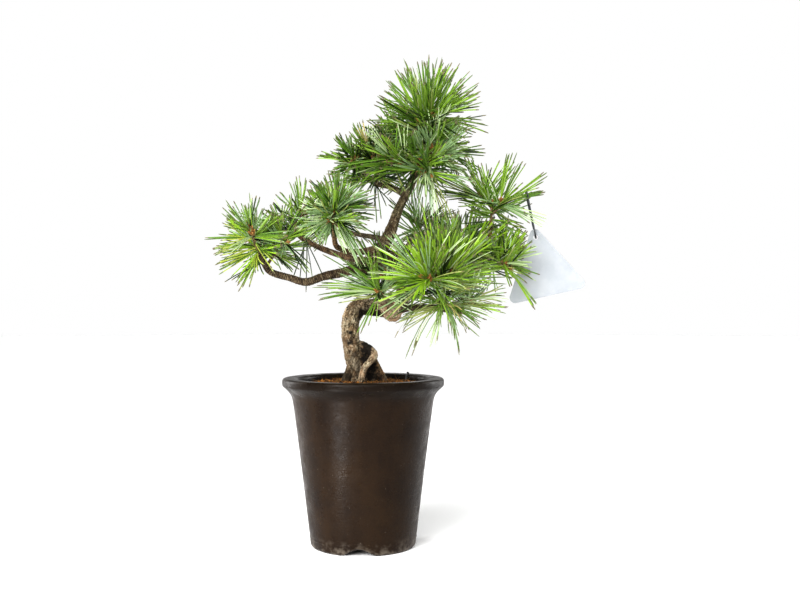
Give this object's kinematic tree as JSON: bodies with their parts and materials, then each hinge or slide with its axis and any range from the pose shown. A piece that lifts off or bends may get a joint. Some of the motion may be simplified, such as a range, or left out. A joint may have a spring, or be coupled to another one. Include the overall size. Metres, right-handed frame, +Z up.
{
  "type": "potted japanese white pine bonsai",
  "caption": "Small pine grown as a bonsai: twisted trunk, boughs and masses of needles, in a tall round brown pot filled with soil, with a bare hanging tag.",
  "frame": {"origin": "centre of the pot's flat underside, on the surface that it stands on", "axes": "+Z up along the pot's axis, front of the tree towards -Y, +X to the right seen from the front"},
  "size_m": [0.3487, 0.2351, 0.4572],
  "materials": {
    "pot_ceramic": "dark brown, satin, slightly uneven",
    "soil": "golden brown crumbs and fibres, rough",
    "bark": "grey-brown scaly bark",
    "needles": "green needles, slightly glossy",
    "tag_card": "bare white, matt",
    "tie": "dark grey"
  },
  "bodies": {
    "root": {"bough_back": "bark", "bough_back_left": "bark", "bough_left_front": "bark", "bough_left_low": "bark", "bough_left_mid": "bark", "bough_low_back": "bark", "bough_low_front": "bark", "bough_right": "bark", "bough_right_front": "bark", "bough_right_high": "bark", "bough_top_back": "bark", "bough_top_left": "bark", "needles_apex": "needles", "needles_back": "needles", "needles_back_left": "needles", "needles_centre_back": "needles", "needles_crown_front_left": "needles", "needles_crown_front_right": "needles", "needles_crown_left": "needles", "needles_crown_right": "needles", "needles_left_back": "needles", "needles_left_far": "needles", "needles_left_far_inner": "needles", "needles_left_front": "needles", "needles_low_back": "needles", "needles_low_centre": "needles", "needles_low_front": "needles", "needles_right_back": "needles", "needles_right_front": "needles", "needles_right_high": "needles", "needles_right_low": "needles", "needles_right_low_outer": "needles", "needles_right_mid": "needles", "needles_right_outer": "needles", "needles_top_back": "needles", "needles_top_left_inner": "needles", "needles_top_left_outer": "needles", "pot": "pot_ceramic", "soil": "soil", "tag": "tag_card", "tag_tie": "tie", "trunk": "bark"}
  },
  "joints": []
}
